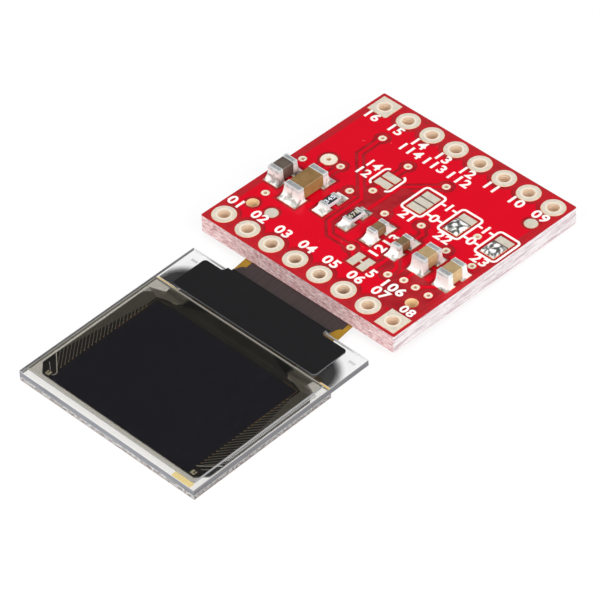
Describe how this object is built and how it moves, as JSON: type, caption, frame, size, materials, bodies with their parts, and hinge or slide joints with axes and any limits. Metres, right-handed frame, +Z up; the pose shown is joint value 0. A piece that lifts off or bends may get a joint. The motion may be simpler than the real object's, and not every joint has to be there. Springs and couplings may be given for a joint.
{
  "type": "small oled module",
  "caption": "Square red breakout board with two rows of plated holes, joined by a flexible film to a flat glass display panel with a dark active field.",
  "frame": {"origin": "on the table, under the middle of the module's bounding box; the panel's rear glass lies on the table at z = 0", "axes": "+X along the two rows of header holes, +Y from the glass panel to the board, +Z up out of the component side"},
  "size_m": [0.0204, 0.0404, 0.0033],
  "materials": {
    "laminate_core": "cut glass-fibre laminate, fine fibres at the edges",
    "copper": "thin copper under solder mask",
    "mask": "glossy red solder mask",
    "plating": "tinned, pale silver-beige",
    "solder": "bright tin solder",
    "print": "white screen print",
    "ceramic_grey": "fired ceramic, grey-brown",
    "ceramic_olive": "fired ceramic, olive-tan",
    "ceramic_brown": "fired ceramic, brown-tan",
    "ceramic_tan": "fired ceramic, light tan",
    "alumina": "white alumina",
    "coat": "black glaze",
    "terminal": "matte tin",
    "glass": "polished thin glass, cut edges",
    "polarizer": "neutral grey polarizing film",
    "seal": "clear cured glue",
    "amber_glue": "amber cured glue",
    "getter": "dark drying sheet",
    "field": "dark electrode field with thin stripes",
    "tracks": "thin metal film",
    "marks": "bright thin metal film",
    "silicon": "polished silicon",
    "bond": "conductive bonding film",
    "amber_film": "amber polyimide film",
    "film_cover": "dark film over copper tracks",
    "gold": "gold-plated copper",
    "black_tape": "satin black tape"
  },
  "bodies": {
    "root": {"laminate_core": "laminate_core", "copper_top": "copper", "copper_bottom": "copper", "mask_top": "mask", "mask_bottom": "mask", "header_pads": "plating", "vias": "plating", "test_point": "plating", "fiducials": "plating", "jumper_pads": "plating", "chip_pads": "plating", "solder_bridges": "solder", "print_lines": "print", "capacitor_1": "ceramic_grey", "capacitor_2": "ceramic_olive", "capacitor_3": "ceramic_brown", "capacitor_4": "ceramic_brown", "capacitor_5": "ceramic_tan", "capacitor_6": "ceramic_tan", "capacitor_1_ends": "terminal", "capacitor_2_ends": "terminal", "capacitor_3_ends": "terminal", "capacitor_4_ends": "terminal", "capacitor_5_ends": "terminal", "capacitor_6_ends": "terminal", "resistor_1": "alumina", "resistor_2": "alumina", "resistor_1_ends": "terminal", "resistor_2_ends": "terminal", "resistor_1_coat": "coat", "resistor_2_coat": "coat", "solder_1": "solder", "solder_2": "solder", "solder_3": "solder", "solder_4": "solder", "solder_5": "solder", "solder_6": "solder", "solder_7": "solder", "solder_8": "solder", "front_glass": "glass", "polarizer": "polarizer", "cap_glass": "glass", "edge_seal": "seal", "getter_sheet": "getter", "active_field": "field", "row_tracks": "tracks", "column_tracks": "tracks", "alignment_marks": "marks", "edge_patch": "amber_glue", "driver_chip": "silicon", "bond_strip": "bond", "film_base": "amber_film", "film_cover": "film_cover", "film_contacts": "gold", "film_solder": "solder", "black_tape": "black_tape"}
  },
  "joints": []
}
